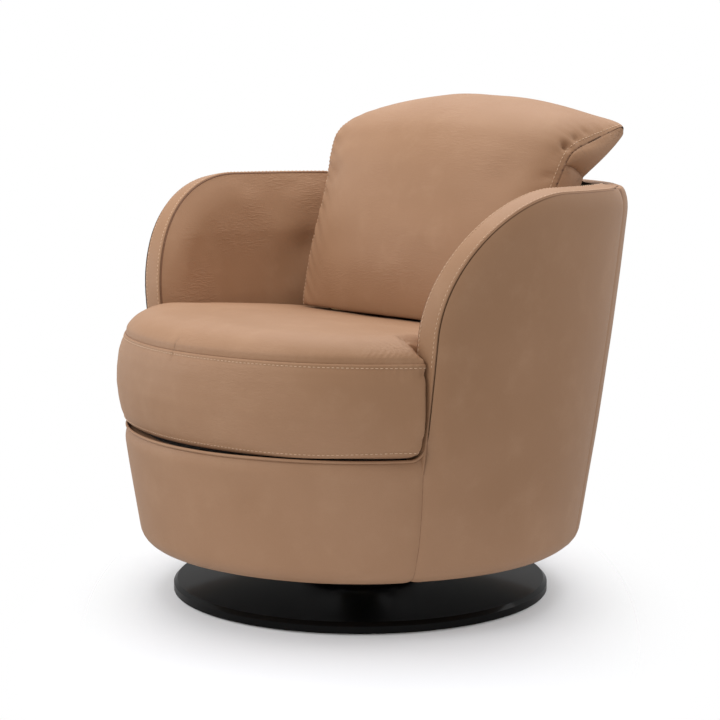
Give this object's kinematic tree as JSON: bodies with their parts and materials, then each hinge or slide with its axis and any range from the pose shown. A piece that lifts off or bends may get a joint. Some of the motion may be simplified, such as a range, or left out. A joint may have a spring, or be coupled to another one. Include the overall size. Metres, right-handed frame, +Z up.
{
  "type": "swivel accent chair",
  "caption": "Round upholstered tub chair with arched arms, loose-look seat cushion, folding headrest cushion and a swivel on a flat round base.",
  "frame": {"origin": "centre of the base's floor pad, on the floor, on the swivel axis", "axes": "+Z up, -Y the way the sitter faces, +X the sitter's left"},
  "size_m": [0.8886, 0.8475, 0.8271],
  "materials": {
    "felt": "felt",
    "black_steel": "satin",
    "bearing_steel": "ground",
    "zinc_steel": "zinc plated",
    "nylon": "matt",
    "brass_cage": "satin",
    "plywood": "sanded",
    "webbing": "woven",
    "black_cloth": "matt cloth",
    "tan_leather": "fine pebble grain",
    "foam": "open cell foam"
  },
  "bodies": {
    "base": {"floor_pad": "felt", "base_cover": "black_steel", "base_core": "plywood", "flange_nuts": "zinc_steel", "swivel_post": "black_steel", "flange_bolts": "zinc_steel", "lower_race": "bearing_steel", "bearing_balls": "bearing_steel", "ball_cage": "brass_cage", "retaining_washer": "zinc_steel", "retaining_nut": "zinc_steel"},
    "tub": {"apron_piping": "tan_leather", "arm_border_left": "tan_leather", "arm_border_right": "tan_leather", "arm_frame_left": "plywood", "arm_frame_right": "plywood", "arm_piping_left": "tan_leather", "arm_piping_right": "tan_leather", "back_board": "plywood", "back_cushion_cover": "tan_leather", "back_cushion_foam": "foam", "back_frame": "plywood", "bottom_board": "plywood", "bracket_screws": "zinc_steel", "deck_pad": "black_cloth", "dust_cover": "black_cloth", "front_apron": "tan_leather", "front_rail": "plywood", "glue_blocks": "plywood", "hinge_bracket_left": "black_steel", "hinge_bracket_right": "black_steel", "hub_bolts": "zinc_steel", "hub_nuts": "zinc_steel", "inner_arm_pad_left": "tan_leather", "inner_arm_pad_right": "tan_leather", "inner_back_pad": "tan_leather", "lower_bush": "nylon", "outer_back_cover": "tan_leather", "outer_side_cover_left": "tan_leather", "outer_side_cover_right": "tan_leather", "seat_cushion_cover": "tan_leather", "seat_cushion_foam": "foam", "seat_ring": "plywood", "swivel_hub": "black_steel", "upper_bush": "nylon", "upper_race": "bearing_steel", "webbing_cross": "webbing", "webbing_long": "webbing", "well_liner": "black_cloth"},
    "headrest": {"headrest_cover": "tan_leather", "headrest_foam": "foam", "headrest_board": "plywood", "headrest_arm_left": "black_steel", "headrest_arm_right": "black_steel", "headrest_screws": "zinc_steel", "hinge_pins": "zinc_steel"}
  },
  "joints": [
    {"name": "tub_swivel", "type": "hinge", "parent": "base", "child": "tub", "pos_m": [0, 0, 0.06], "axis": [0, 0, 1], "continuous": true},
    {"name": "headrest_tilt", "type": "hinge", "parent": "tub", "child": "headrest", "pos_m": [0, 0.235, 0.713], "axis": [1, 0, 0], "range_deg": [0, 50]}
  ]
}
